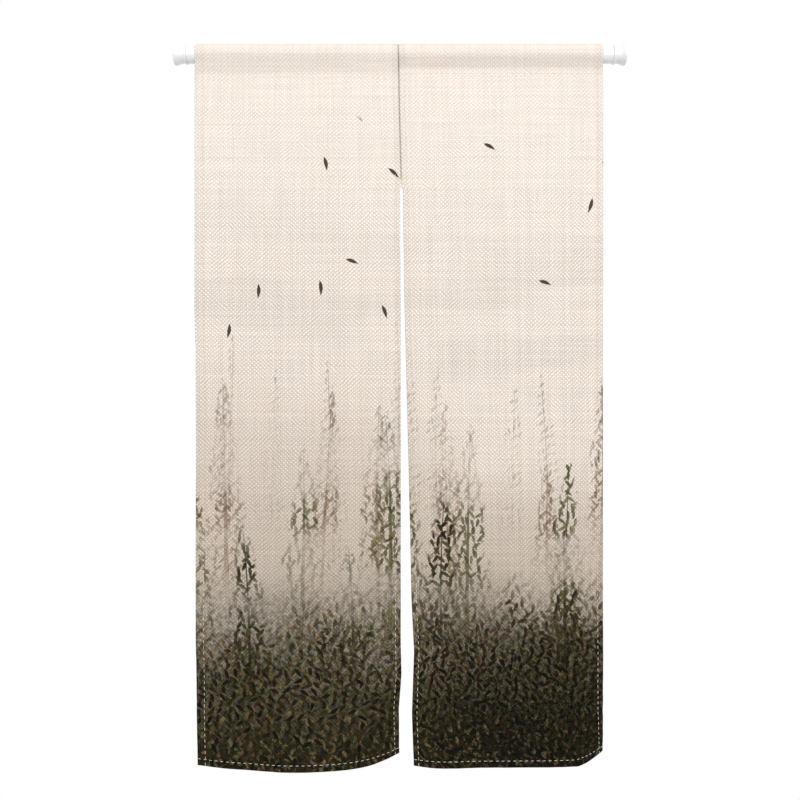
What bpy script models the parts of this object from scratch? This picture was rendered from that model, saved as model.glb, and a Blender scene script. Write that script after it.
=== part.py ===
"""Door curtain in two hanging panels, on a white tension rod.

Metres, +Z up. The origin is the centre of the left end cap's outer face, +X runs along the rod
and -Y is the side that the printed face of the cloth looks to.
"""

import math
from collections import namedtuple

import bmesh
import bpy
import numpy as np

COLLECTION_NAME = "DoorCurtain"

# Rod
ROD_LENGTH = 0.936
TUBE_RADIUS = 0.0175
TUBE_WALL = 0.0012
SEAT_GAP = 0.0003
ROUND_STEPS = 36

# End caps, measured along the rod from the outer face inwards
CAP_FOOT_RADIUS = 0.0212
CAP_FOOT_DEPTH = 0.004
CAP_WAIST_RADIUS = 0.0172
CAP_COLLAR_RADIUS = 0.0190
CAP_COLLAR_DEPTH = 0.005
CAP_VISIBLE_DEPTH = 0.027
CAP_PLUG_DEPTH = 0.018
CAP_EDGE = 0.0008
CAP_FLARE_STEPS = 6

# Cloth
PANEL_WIDTH = 0.4245  # each panel, laid flat
CLOTH_LENGTH = 1.500
CLOTH_THICKNESS = 0.0012
HEM_THICKNESS = 0.0020
HEM_EDGE = 0.0015
OUTER_HEM = 0.017
SLIT_HEM = 0.011
FOOT_HEM = 0.014

# Rod pocket: the fold at its top is pressed to a soft ridge
RIDGE_RADIUS = 0.004
RIDGE_ANGLE = math.radians(32)
POCKET_SEAM = 0.012
POCKET_BEND = 0.006

# How folds and curled corners grow towards the foot, and the least part of its flat width
# that a strip of cloth still spans where it turns away
FOLD_GROWTH = 1.5
CURL_GROWTH = 2.0
LEAST_SPAN = 0.3

# The seam between the panels ends and the slit opens between these drops
SLIT_HEAD = 0.296
SLIT_OPEN = 0.304

# Mesh density
PANEL_COLUMNS = 20
SEAM_ROWS = 6
SLIT_ROWS = 27
RIDGE_POINTS = 3
WRAP_POINTS = 8
BEND_POINTS = 3

# Finishes
ROD_WHITE = (0.86, 0.87, 0.88, 1.0)
ROD_ROUGHNESS = 0.35
CAP_WHITE = (0.85, 0.86, 0.87, 1.0)
CAP_ROUGHNESS = 0.45
LINEN_ROUGHNESS = 0.9

# A drop is a distance below the pocket's ridge, and across is a share of a panel's width
# from its left edge. A fold bulges forward, towards -Y, and a curl turns a foot corner back.
Panel = namedtuple("Panel", "name pocket_drop outer_side edges folds curls colour")
Edge = namedtuple("Edge", "drop left right")
Fold = namedtuple("Fold", "across reach forward begins")
Curl = namedtuple("Curl", "side reach back power rise begins")

LEFT_PANEL = Panel(
    name="panel_left",
    pocket_drop=0.062,
    outer_side="left",
    edges=(
        Edge(drop=0.000, left=0.0450, right=0.4635),
        Edge(drop=0.035, left=0.0450, right=0.4642),
        Edge(drop=0.065, left=0.0412, right=0.4648),
        Edge(drop=0.137, left=0.0412, right=0.4660),
        Edge(drop=0.296, left=0.0412, right=0.4702),
        Edge(drop=0.304, left=0.0412, right=0.4680),
        Edge(drop=0.560, left=0.0415, right=0.4695),
        Edge(drop=0.630, left=0.0440, right=0.4695),
        Edge(drop=1.240, left=0.0445, right=0.4695),
        Edge(drop=1.310, left=0.0460, right=0.4712),
        Edge(drop=1.385, left=0.0465, right=0.4662),
        Edge(drop=1.500, left=0.0480, right=0.4678),
    ),
    folds=(
        Fold(across=0.47, reach=0.58, forward=0.032, begins=0.25),
        Fold(across=0.05, reach=0.28, forward=0.004, begins=0.45),
        Fold(across=0.28, reach=0.14, forward=-0.003, begins=0.35),
    ),
    curls=(
        Curl(side="right", reach=0.33, back=0.045, power=2.0, rise=0.004, begins=1.25),
        Curl(side="left", reach=0.30, back=0.004, power=2.0, rise=0.003, begins=1.30),
    ),
    colour=(0.60, 0.54, 0.47, 1.0),
)

RIGHT_PANEL = Panel(
    name="panel_right",
    pocket_drop=0.053,
    outer_side="right",
    edges=(
        Edge(drop=0.000, left=0.4645, right=0.8865),
        Edge(drop=0.035, left=0.4652, right=0.8865),
        Edge(drop=0.060, left=0.4658, right=0.8900),
        Edge(drop=0.137, left=0.4670, right=0.8900),
        Edge(drop=0.296, left=0.4712, right=0.8900),
        Edge(drop=0.304, left=0.4740, right=0.8900),
        Edge(drop=0.533, left=0.4771, right=0.8898),
        Edge(drop=0.740, left=0.4823, right=0.8895),
        Edge(drop=0.948, left=0.4875, right=0.8895),
        Edge(drop=1.155, left=0.4917, right=0.8895),
        Edge(drop=1.260, left=0.4970, right=0.8900),
        Edge(drop=1.330, left=0.4945, right=0.8910),
        Edge(drop=1.390, left=0.4925, right=0.8935),
        Edge(drop=1.500, left=0.4965, right=0.9020),
    ),
    folds=(
        Fold(across=0.16, reach=0.20, forward=0.005, begins=0.40),
        Fold(across=0.28, reach=0.70, forward=0.009, begins=0.30),
        Fold(across=0.70, reach=0.20, forward=0.002, begins=0.50),
    ),
    curls=(
        Curl(side="right", reach=0.20, back=0.052, power=1.2, rise=0.003, begins=1.25),
        Curl(side="left", reach=0.14, back=0.006, power=2.0, rise=0.001, begins=1.30),
    ),
    colour=(0.56, 0.50, 0.43, 1.0),
)


def clear_scene():
    """Removes every object that the file opened with."""
    for existing in list(bpy.data.objects):
        bpy.data.objects.remove(existing, do_unlink=True)


def make_collection(name):
    """Adds an empty collection to the scene."""
    collection = bpy.data.collections.new(name)
    bpy.context.scene.collection.children.link(collection)
    return collection


def make_material(name, colour, roughness):
    """A plain Principled BSDF material, with no metallic lustre."""
    material = bpy.data.materials.new(name)
    material.use_nodes = True
    shader = material.node_tree.nodes["Principled BSDF"]
    shader.inputs["Base Color"].default_value = colour
    shader.inputs["Roughness"].default_value = roughness
    shader.inputs["Metallic"].default_value = 0.0
    material.diffuse_color = colour
    return material


def add_object(name, mesh, material, collection):
    """Links a mesh to the collection as a named object with one material."""
    thing = bpy.data.objects.new(name, mesh)
    mesh.materials.append(material)
    collection.objects.link(thing)
    return thing


# Turned pieces


def turned_object(name, profile, closed, material, collection):
    """Spins a profile of (radius, height) points round its own Z axis."""
    mesh = bpy.data.meshes.new(name)
    points = [(radius, 0.0, height) for radius, height in profile]
    edges = [(i, i + 1) for i in range(len(points) - 1)]
    if closed:
        edges.append((len(points) - 1, 0))
    mesh.from_pydata(points, edges, [])
    turned = add_object(name, mesh, material, collection)
    screw = turned.modifiers.new("Turn", "SCREW")
    screw.steps = ROUND_STEPS
    screw.render_steps = ROUND_STEPS
    screw.use_merge_vertices = True
    screw.merge_threshold = 0.00001
    screw.use_smooth_shade = True
    return turned


def cap_profile():
    """Outline of an end cap from the middle of its outer face to the end of its plug."""
    foot_inner = -CAP_FOOT_DEPTH
    collar_outer = -(CAP_VISIBLE_DEPTH - CAP_COLLAR_DEPTH)
    collar_inner = -CAP_VISIBLE_DEPTH
    plug_radius = TUBE_RADIUS - TUBE_WALL - SEAT_GAP
    plug_end = collar_inner - CAP_PLUG_DEPTH
    profile = [
        (0.0, 0.0),
        (CAP_FOOT_RADIUS - CAP_EDGE, 0.0),
        (CAP_FOOT_RADIUS, -CAP_EDGE),
        (CAP_FOOT_RADIUS, foot_inner),
    ]
    for step in range(1, CAP_FLARE_STEPS + 1):
        share = step / CAP_FLARE_STEPS
        radius = CAP_WAIST_RADIUS + (CAP_FOOT_RADIUS - CAP_WAIST_RADIUS) * (1.0 - share) ** 2
        profile.append((radius, foot_inner + (collar_outer - foot_inner) * share))
    profile += [
        (CAP_COLLAR_RADIUS - CAP_EDGE, collar_outer),
        (CAP_COLLAR_RADIUS, collar_outer - CAP_EDGE),
        (CAP_COLLAR_RADIUS, collar_inner + CAP_EDGE),
        (CAP_COLLAR_RADIUS - CAP_EDGE, collar_inner),
        (plug_radius, collar_inner),
        (plug_radius, plug_end + CAP_EDGE),
        (plug_radius - CAP_EDGE, plug_end),
        (0.0, plug_end),
    ]
    return profile


def tube_profile(length):
    """Closed outline of the tube's wall, outer side first, running down."""
    half = length / 2.0
    inner = TUBE_RADIUS - TUBE_WALL
    return [(TUBE_RADIUS, half), (TUBE_RADIUS, -half), (inner, -half), (inner, half)]


def make_rod(collection):
    """The tube and its two end caps, seated in its ends."""
    tube_length = ROD_LENGTH - 2.0 * (CAP_VISIBLE_DEPTH + SEAT_GAP)
    paint = make_material("rod_white_paint", ROD_WHITE, ROD_ROUGHNESS)
    tube = turned_object("rod_tube", tube_profile(tube_length), True, paint, collection)
    tube.location = (ROD_LENGTH / 2.0, 0.0, 0.0)
    tube.rotation_euler = (0.0, math.pi / 2.0, 0.0)
    for name, place, turn in (("cap_left", 0.0, -1.0), ("cap_right", ROD_LENGTH, 1.0)):
        plastic = make_material(name + "_white_plastic", CAP_WHITE, CAP_ROUGHNESS)
        cap = turned_object(name, cap_profile(), False, plastic, collection)
        cap.location = (place, 0.0, 0.0)
        cap.rotation_euler = (0.0, turn * math.pi / 2.0, 0.0)


# Cloth panels


def arc(centre_height, radius, start, end, count):
    """Points of an arc round the rod's axis line, angles measured from straight up."""
    angles = np.linspace(start, end, count)
    return [(radius * math.sin(a), centre_height + radius * math.cos(a)) for a in angles]


def bend(start, corner, end, count):
    """Quadratic curve that rounds a corner, without its first point."""
    points = []
    for share in np.linspace(0.0, 1.0, count + 1)[1:]:
        before, at, after = (1 - share) ** 2, 2 * share * (1 - share), share**2
        points.append(tuple(before * s + at * c + after * e for s, c, e in zip(start, corner, end)))
    return points


def wrap_radius():
    """Radius of the cloth's outer face where it lies round the rod."""
    return TUBE_RADIUS + SEAT_GAP + HEM_THICKNESS


def crest_height():
    """Height of the pocket's ridge above the rod's axis."""
    return (wrap_radius() - RIDGE_RADIUS) / math.cos(RIDGE_ANGLE) + RIDGE_RADIUS


def half_pocket(pocket_drop):
    """Outer face of the cloth from the ridge down one side of the rod to the sewn seam.

    Returns (outward, height) points that end where the two layers run side by side.
    """
    wrap = wrap_radius()
    ridge_centre = crest_height() - RIDGE_RADIUS
    layer = HEM_THICKNESS + SEAT_GAP / 2.0
    corner = (layer, crest_height() - pocket_drop)
    distance = math.hypot(*corner)
    leaves = math.atan2(corner[0], corner[1]) - math.acos(wrap / distance)
    points = arc(ridge_centre, RIDGE_RADIUS, 0.0, RIDGE_ANGLE, RIDGE_POINTS)
    points += arc(0.0, wrap, RIDGE_ANGLE, leaves, WRAP_POINTS)
    last = points[-1]
    run = math.dist(last, corner)
    share = POCKET_BEND / run
    before = tuple(c + (p - c) * share for c, p in zip(corner, last))
    after = (corner[0], corner[1] - POCKET_BEND)
    return points + [before] + bend(before, corner, after, BEND_POINTS)


def side_columns(outer_side):
    """Places across the cloth, closer together at the edge of each hem."""
    left_hem, right_hem = (OUTER_HEM, SLIT_HEM) if outer_side == "left" else (SLIT_HEM, OUTER_HEM)
    inner = np.linspace(left_hem + HEM_EDGE, PANEL_WIDTH - right_hem - HEM_EDGE, PANEL_COLUMNS)
    places = [0.0, left_hem, *inner, PANEL_WIDTH - right_hem, PANEL_WIDTH]
    in_hem = [1.0, 1.0] + [0.0] * len(inner) + [1.0, 1.0]
    return np.array(places), np.array(in_hem)


def growth(drop, begins, power):
    """Rises from 0 where a fold begins to 1 at the foot of the cloth."""
    return np.clip((drop - begins) / (CLOTH_LENGTH - begins), 0.0, 1.0) ** power


def fold_depth(panel, across, drop):
    """How far the cloth lies behind its plain hanging plane, per place and drop."""
    depth = np.zeros(np.broadcast(across, drop).shape)
    for fold in panel.folds:
        grown = growth(drop, fold.begins, FOLD_GROWTH)
        near = np.clip(np.abs(across - fold.across) / fold.reach, 0.0, 1.0)
        depth = depth - fold.forward * grown * 0.5 * (1.0 + np.cos(math.pi * near))
    for curl in panel.curls:
        grown = growth(drop, curl.begins, CURL_GROWTH)
        depth = depth + curl.back * grown * curl_share(curl, across)
    return depth


def curl_share(curl, across):
    """Growth of a curled corner towards its side of the cloth."""
    from_side = 1.0 - across if curl.side == "right" else across
    return np.clip(1.0 - from_side / curl.reach, 0.0, 1.0) ** curl.power


def body_points(panel, places, start):
    """Rows of the hanging cloth below the pocket, as arrays of x, depth and height."""
    seam_depth, seam_height = start
    first_drop = crest_height() - seam_height
    rise = np.zeros(len(places))
    across = places / PANEL_WIDTH
    for curl in panel.curls:
        rise += curl.rise * curl_share(curl, across)
    foot = CLOTH_LENGTH - rise
    above_hem = foot - FOOT_HEM - HEM_EDGE
    seam_spread = np.linspace(0.0, 1.0, SEAM_ROWS)[:, None]
    slit_spread = np.linspace(0.0, 1.0, SLIT_ROWS)[:, None]
    seam_drop = first_drop + (SLIT_HEAD - first_drop) * seam_spread * np.ones(len(places))
    slit_drop = SLIT_OPEN + (above_hem - SLIT_OPEN) * slit_spread
    drop = np.vstack([seam_drop, slit_drop, foot - FOOT_HEM, foot])
    depth = -seam_depth + fold_depth(panel, across[None, :], drop)
    falls = np.sqrt(np.maximum(np.diff(drop, axis=0) ** 2 - np.diff(depth, axis=0) ** 2, 0.0))
    height = seam_height - np.vstack([np.zeros(len(places)), np.cumsum(falls, axis=0)])
    return place_across(panel, places, drop, depth), depth, height


def place_across(panel, places, drop, depth):
    """Sideways positions, drawn in where the cloth turns away and held to the panel's edges."""
    steps = np.diff(places)[None, :]
    least = (LEAST_SPAN * steps) ** 2
    spans = np.sqrt(np.maximum(steps**2 - np.diff(depth, axis=1) ** 2, least))
    reached = np.hstack([np.zeros((len(depth), 1)), np.cumsum(spans, axis=1)])
    share = reached / reached[:, -1:]
    drops = [edge.drop for edge in panel.edges]
    left = np.interp(drop, drops, [edge.left for edge in panel.edges])
    right = np.interp(drop, drops, [edge.right for edge in panel.edges])
    return left + (right - left) * share


def panel_grid(panel):
    """Outer face of a whole panel: rows from the sewn end behind the rod to the foot."""
    places, in_side_hem = side_columns(panel.outer_side)
    half = half_pocket(panel.pocket_drop)
    seam_end = (half[-1][0], half[-1][1] - POCKET_SEAM)
    back = [seam_end, *reversed(half[1:])]
    front = [(-outward, height) for outward, height in half[:-1]]
    over = np.array(back + front)
    depth = np.repeat(over[:, :1], len(places), axis=1)
    height = np.repeat(over[:, 1:], len(places), axis=1)
    drop = crest_height() - height
    sideways = place_across(panel, places, drop, depth)
    body_x, body_depth, body_height = body_points(panel, places, half[-1])
    rows = len(over) + len(body_x)
    in_hem = np.tile(in_side_hem, (rows, 1))
    in_hem[:2] = 1.0
    in_hem[-2:] = 1.0
    grid = np.stack(
        [
            np.vstack([sideways, body_x]),
            np.vstack([depth, body_depth]),
            np.vstack([height, body_height]),
        ],
        axis=2,
    )
    return grid, in_hem


def make_panel(panel, collection):
    """One panel: a grid laid over the rod and down the front, thickened towards the back."""
    grid, in_hem = panel_grid(panel)
    rows, columns = in_hem.shape
    mesh = bpy.data.meshes.new(panel.name)
    sheet = bmesh.new()
    bmesh.ops.create_grid(sheet, x_segments=columns - 1, y_segments=rows - 1, size=0.5)
    weights = {}
    for vertex in sheet.verts:
        column = round((vertex.co.x + 0.5) * (columns - 1))
        row = round((vertex.co.y + 0.5) * (rows - 1))
        vertex.co = grid[row, column]
        weights[vertex.index] = in_hem[row, column]
    bmesh.ops.reverse_faces(sheet, faces=sheet.faces)
    sheet.to_mesh(mesh)
    sheet.free()
    mesh.shade_smooth()
    cloth = make_material(panel.name + "_linen", panel.colour, LINEN_ROUGHNESS)
    thing = add_object(panel.name, mesh, cloth, collection)
    hem = thing.vertex_groups.new(name="hem")
    for index, weight in weights.items():
        hem.add([index], weight, "REPLACE")
    shell = thing.modifiers.new("Thickness", "SOLIDIFY")
    shell.thickness = HEM_THICKNESS
    shell.offset = -1.0
    shell.use_even_offset = True
    shell.use_quality_normals = True
    shell.vertex_group = hem.name
    shell.thickness_vertex_group = CLOTH_THICKNESS / HEM_THICKNESS


def main():
    """Builds the whole curtain in its own collection."""
    clear_scene()
    collection = make_collection(COLLECTION_NAME)
    make_rod(collection)
    for panel in (LEFT_PANEL, RIGHT_PANEL):
        make_panel(panel, collection)


main()
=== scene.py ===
"""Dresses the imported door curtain: two woven, printed and sewn panels on a white tension rod.

Metres. The origin is the centre of the rod's left end, +X runs along the rod, +Z is up and the
printed face of the cloth looks to -Y. The shape tables are the ones of the CAD source.
"""

import math
import random
from collections import namedtuple

import bpy
import numpy as np
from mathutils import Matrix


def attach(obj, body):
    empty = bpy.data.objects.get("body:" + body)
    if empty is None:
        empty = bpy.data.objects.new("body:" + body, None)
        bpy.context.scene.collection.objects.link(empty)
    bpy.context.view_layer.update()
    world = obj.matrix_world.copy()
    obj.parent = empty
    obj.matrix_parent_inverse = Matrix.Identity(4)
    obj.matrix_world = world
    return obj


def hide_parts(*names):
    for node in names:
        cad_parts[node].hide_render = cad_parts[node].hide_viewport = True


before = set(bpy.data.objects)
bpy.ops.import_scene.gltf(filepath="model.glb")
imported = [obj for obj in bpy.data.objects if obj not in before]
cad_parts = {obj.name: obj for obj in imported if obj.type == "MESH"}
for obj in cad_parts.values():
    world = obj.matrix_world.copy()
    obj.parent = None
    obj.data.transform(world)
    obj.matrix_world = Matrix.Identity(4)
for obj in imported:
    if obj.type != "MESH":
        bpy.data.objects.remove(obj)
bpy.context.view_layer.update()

bl_info = {
    "name": "Door curtain",
    "version": (1, 0, 0),
    "blender": (4, 5, 0),
    "location": "View3D > Sidebar > Curtain",
    "description": "Dresses a two-panel door curtain on its tension rod",
    "category": "Object",
}

BODY = "root"

# Rod and cloth sizes of the CAD source
TUBE_RADIUS = 0.0175
SEAT_GAP = 0.0003
PANEL_WIDTH = 0.4245
CLOTH_LENGTH = 1.500
CLOTH_THICKNESS = 0.0012
HEM_THICKNESS = 0.0020
RIDGE_RADIUS = 0.004
RIDGE_ANGLE = math.radians(32)
POCKET_SEAM = 0.012
POCKET_BEND = 0.006
FOLD_GROWTH = 1.5
CURL_GROWTH = 2.0
LEAST_SPAN = 0.3
SLIT_HEAD = 0.296
SLIT_OPEN = 0.304

# Hems: where each is sewn, and how far its turned cloth goes on past the sewing
SLIT_SEWING = 0.011
FOOT_SEWING = 0.014
HEM_MARGIN = 0.002
HEM_STEP = 0.001

# How far the pocket's sewing runs below its front end, and how far stitches keep from an edge
POCKET_SEWING = 0.003
STITCH_END = 0.0044

# Closed seam above the slit: where its relief and its painted shade end and over how much length
# they fade, how far its edges reach for each other, and the width of both effects
SEAM_END = SLIT_OPEN - 0.002
SEAM_FADE = 0.010
SEAM_REACH = 0.0005
REACH_WIDTH = 0.004
SHADE_END = SLIT_HEAD + 0.004
SHADE_FADE = 0.006
SHADE_WIDTH = 0.0030

# Relief of the cloth: width of the groove that the thread draws in, lengths of the small waves
# along the hems, how many hem widths they fade over and how little they change across a hem,
# then the size of the slack's unevenness and where down the cloth it sets in
GROOVE_WIDTH = 0.0022
SIDE_WAVES = 0.030
FOOT_WAVES = 0.034
HEM_FADE = 1.6
ACROSS_WAVES = 0.2
SLACK_SIZE = 0.16
SLACK_STRETCH = 3.0
SLACK_BEGINS = 0.12
SLACK_GROWTH = 0.20

# Waves that make up an unevenness, and the range of their lengths as a share of its size
WAVES = 9
WAVE_SHARES = (0.6, 1.7)

# How far a rolled edge reaches into the cloth, in depths of the roll
ROLL_REACH = 1.6

# Mesh spacing, and the places beside an edge or a line of sewing that need closer points.
# The tail is the pocket's back layer, measured up from its cut end.
CELL = 0.005
EDGE_PLACES = (0.0, 0.0005, 0.0011, 0.0019, 0.0030, 0.0045)
SEWING_PLACES = (-0.0032, -0.0016, 0.0, 0.0016)
LEAST_CELL = 0.0004
TAIL_PLACES = (0.0, 0.0011, 0.0030, 0.0060, 0.0090)
RIDGE_POINTS = 6
WRAP_POINTS = 18
STRAIGHT_POINTS = 4
BEND_POINTS = 7

# A drop is a distance below the pocket's ridge, and across is a share of a panel's width
# from its left edge. A fold bulges forward, towards -Y, and a curl turns a foot corner back.
Cloth = namedtuple("Cloth", "name node slot starts pocket_drop outer_side outer_sewing edges folds curls")
Edge = namedtuple("Edge", "drop left right")
Fold = namedtuple("Fold", "across reach forward begins")
Curl = namedtuple("Curl", "side reach back power rise begins")

LEFT_CLOTH = Cloth(
    name="left_cloth",
    node="panel_left",
    slot="linen_left",
    starts=0.0,
    pocket_drop=0.062,
    outer_side="left",
    outer_sewing=0.017,
    edges=(
        Edge(drop=0.000, left=0.0450, right=0.4635),
        Edge(drop=0.035, left=0.0450, right=0.4642),
        Edge(drop=0.065, left=0.0412, right=0.4648),
        Edge(drop=0.137, left=0.0412, right=0.4660),
        Edge(drop=0.296, left=0.0412, right=0.4702),
        Edge(drop=0.304, left=0.0412, right=0.4680),
        Edge(drop=0.560, left=0.0415, right=0.4695),
        Edge(drop=0.630, left=0.0440, right=0.4695),
        Edge(drop=1.240, left=0.0445, right=0.4695),
        Edge(drop=1.310, left=0.0460, right=0.4712),
        Edge(drop=1.385, left=0.0465, right=0.4662),
        Edge(drop=1.500, left=0.0480, right=0.4678),
    ),
    folds=(
        Fold(across=0.47, reach=0.58, forward=0.032, begins=0.25),
        Fold(across=0.05, reach=0.28, forward=0.004, begins=0.45),
        Fold(across=0.28, reach=0.14, forward=-0.003, begins=0.35),
    ),
    curls=(
        Curl(side="right", reach=0.33, back=0.045, power=2.0, rise=0.004, begins=1.25),
        Curl(side="left", reach=0.30, back=0.004, power=2.0, rise=0.003, begins=1.30),
    ),
)

RIGHT_CLOTH = Cloth(
    name="right_cloth",
    node="panel_right",
    slot="linen_right",
    starts=PANEL_WIDTH,
    pocket_drop=0.053,
    outer_side="right",
    outer_sewing=0.012,
    edges=(
        Edge(drop=0.000, left=0.4645, right=0.8865),
        Edge(drop=0.035, left=0.4652, right=0.8865),
        Edge(drop=0.060, left=0.4658, right=0.8900),
        Edge(drop=0.137, left=0.4670, right=0.8900),
        Edge(drop=0.296, left=0.4712, right=0.8900),
        Edge(drop=0.304, left=0.4740, right=0.8900),
        Edge(drop=0.533, left=0.4771, right=0.8898),
        Edge(drop=0.740, left=0.4823, right=0.8895),
        Edge(drop=0.948, left=0.4875, right=0.8895),
        Edge(drop=1.155, left=0.4917, right=0.8895),
        Edge(drop=1.260, left=0.4970, right=0.8900),
        Edge(drop=1.330, left=0.4945, right=0.8910),
        Edge(drop=1.390, left=0.4925, right=0.8935),
        Edge(drop=1.500, left=0.4965, right=0.9020),
    ),
    folds=(
        Fold(across=0.16, reach=0.20, forward=0.005, begins=0.40),
        Fold(across=0.28, reach=0.70, forward=0.009, begins=0.30),
        Fold(across=0.70, reach=0.20, forward=0.002, begins=0.50),
    ),
    curls=(
        Curl(side="right", reach=0.20, back=0.052, power=1.2, rise=0.003, begins=1.25),
        Curl(side="left", reach=0.14, back=0.006, power=2.0, rise=0.001, begins=1.30),
    ),
)

CLOTHS = (LEFT_CLOTH, RIGHT_CLOTH)


def paint(text):
    """Linear red, green and blue of a screen colour written as six hexadecimal digits."""
    shares = [int(text[i : i + 2], 16) / 255 for i in (0, 2, 4)]
    return tuple(s / 12.92 if s <= 0.04045 else ((s + 0.055) / 1.055) ** 2.4 for s in shares)


# Settings


def length_setting(name, description, default):
    """A property for a size in metres."""
    return bpy.props.FloatProperty(
        name=name, description=description, default=default, min=0.0, unit="LENGTH", precision=4
    )


def colour_setting(name, description, default):
    """A property for a colour, its default written as six hexadecimal digits."""
    return bpy.props.FloatVectorProperty(
        name=name,
        description=description,
        default=paint(default),
        min=0.0,
        max=1.0,
        size=3,
        subtype="COLOR",
    )


def share_setting(name, description, default):
    """A property for a share from 0 to 1."""
    return bpy.props.FloatProperty(
        name=name, description=description, default=default, min=0.0, max=1.0, subtype="FACTOR"
    )


class ClothSettings(bpy.types.PropertyGroup):
    """Weave, relief and print colours of the cloth."""

    warp_pitch: length_setting("Warp pitch", "Distance between upright yarns", 0.0043)
    weft_pitch: length_setting("Weft pitch", "Distance between level yarns", 0.0040)
    yarn_relief: length_setting("Yarn relief", "Height of a yarn where it crosses on top", 0.0003)
    edge_roll: length_setting("Edge roll", "How far a sewn edge rolls to the back", 0.0011)
    seam_roll: length_setting("Seam roll", "How far both edges turn back along their seam", 0.0024)
    sewing_pull: length_setting("Sewing pull", "How deep the thread draws in the cloth", 0.00035)
    hem_pucker: length_setting("Hem pucker", "Height of the small waves along a sewn hem", 0.0003)
    slack: length_setting("Slack", "Height of the faint unevenness of the hanging cloth", 0.0006)
    yarn: colour_setting("Yarn", "Unprinted cloth, as it shows through at the back", "F2E8DA")


class ThreadSettings(bpy.types.PropertyGroup):
    """The sewing thread and its running stitches."""

    pitch: length_setting("Pitch", "Distance from one stitch to the next", 0.0120)
    length: length_setting("Length", "Length of thread that shows", 0.0078)
    width: length_setting("Width", "Width of the thread", 0.0011)
    height: length_setting("Height", "Full thickness of a stitch, half of it in the cloth", 0.0010)
    unevenness: share_setting("Unevenness", "How much the stitches differ in size", 0.10)
    colour: colour_setting("Colour", "Colour of the thread", "E6DCCB")


class RodSettings(bpy.types.PropertyGroup):
    """Finishes of the rod and its end caps."""

    tube: colour_setting("Tube paint", "White paint on the steel tube", "F8FAFC")
    cap: colour_setting("Cap plastic", "White plastic of the end caps", "F7F9FB")
    tube_roughness: share_setting("Tube roughness", "Roughness of the paint", 0.25)
    cap_roughness: share_setting("Cap roughness", "Roughness of the plastic", 0.32)


class StageSettings(bpy.types.PropertyGroup):
    """Floor, light and camera."""

    floor: colour_setting("Floor", "Colour of the floor", "F4F3F1")
    floor_drop: length_setting("Floor drop", "How far the floor lies below the rod", 2.02)
    floor_radius: length_setting("Floor radius", "Radius of the round floor", 0.80)
    room_above: share_setting("Room above", "Brightness of the room's upper half", 0.70)
    room_below: share_setting("Room below", "Brightness of the room's lower half", 0.24)
    room_behind: share_setting("Room behind", "Brightness of the white wall behind", 0.95)
    key_strength: bpy.props.FloatProperty(
        name="Key light", description="Strength of the soft main light", default=1.78, min=0.0
    )
    camera_distance: length_setting("Camera distance", "From the camera to the rod's plane", 1.70)


# Shape of the cloth


def arc(centre_height, radius, start, end, count):
    """Points of an arc round the rod's axis line, angles measured from straight up."""
    angles = np.linspace(start, end, count)
    return [(radius * math.sin(a), centre_height + radius * math.cos(a)) for a in angles]


def bend(start, corner, end, count):
    """Quadratic curve that rounds a corner, without its first point."""
    points = []
    for share in np.linspace(0.0, 1.0, count + 1)[1:]:
        before, at, after = (1 - share) ** 2, 2 * share * (1 - share), share**2
        points.append(tuple(before * s + at * c + after * e for s, c, e in zip(start, corner, end)))
    return points


def crest_height():
    """Height of the pocket's ridge above the rod's axis."""
    wrap = TUBE_RADIUS + SEAT_GAP + HEM_THICKNESS
    return (wrap - RIDGE_RADIUS) / math.cos(RIDGE_ANGLE) + RIDGE_RADIUS


def half_pocket(pocket_drop):
    """Outer face of the cloth from the ridge down one side of the rod to the sewn seam."""
    wrap = TUBE_RADIUS + SEAT_GAP + HEM_THICKNESS
    layer = HEM_THICKNESS + SEAT_GAP / 2.0
    corner = (layer, crest_height() - pocket_drop)
    distance = math.hypot(*corner)
    leaves = math.atan2(corner[0], corner[1]) - math.acos(wrap / distance)
    points = arc(crest_height() - RIDGE_RADIUS, RIDGE_RADIUS, 0.0, RIDGE_ANGLE, RIDGE_POINTS)
    points += arc(0.0, wrap, RIDGE_ANGLE, leaves, WRAP_POINTS)[1:]
    last = points[-1]
    share = POCKET_BEND / math.dist(last, corner)
    before = tuple(c + (p - c) * share for c, p in zip(corner, last))
    after = (corner[0], corner[1] - POCKET_BEND)
    for step in np.linspace(0.0, 1.0, STRAIGHT_POINTS + 2)[1:-1]:
        points.append(tuple(p + (b - p) * step for p, b in zip(last, before)))
    return points + [before] + bend(before, corner, after, BEND_POINTS)


def growth(drop, begins, power):
    """Rises from 0 where a fold begins to 1 at the foot of the cloth."""
    return np.clip((drop - begins) / (CLOTH_LENGTH - begins), 0.0, 1.0) ** power


def curl_share(curl, across):
    """Growth of a curled corner towards its side of the cloth."""
    from_side = 1.0 - across if curl.side == "right" else across
    return np.clip(1.0 - from_side / curl.reach, 0.0, 1.0) ** curl.power


def fold_depth(cloth, across, drop):
    """How far the cloth lies behind its plain hanging plane."""
    depth = np.zeros(np.broadcast(across, drop).shape)
    for fold in cloth.folds:
        grown = growth(drop, fold.begins, FOLD_GROWTH)
        near = np.clip(np.abs(across - fold.across) / fold.reach, 0.0, 1.0)
        depth = depth - fold.forward * grown * 0.5 * (1.0 + np.cos(math.pi * near))
    for curl in cloth.curls:
        grown = growth(drop, curl.begins, CURL_GROWTH)
        depth = depth + curl.back * grown * curl_share(curl, across)
    return depth


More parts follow.
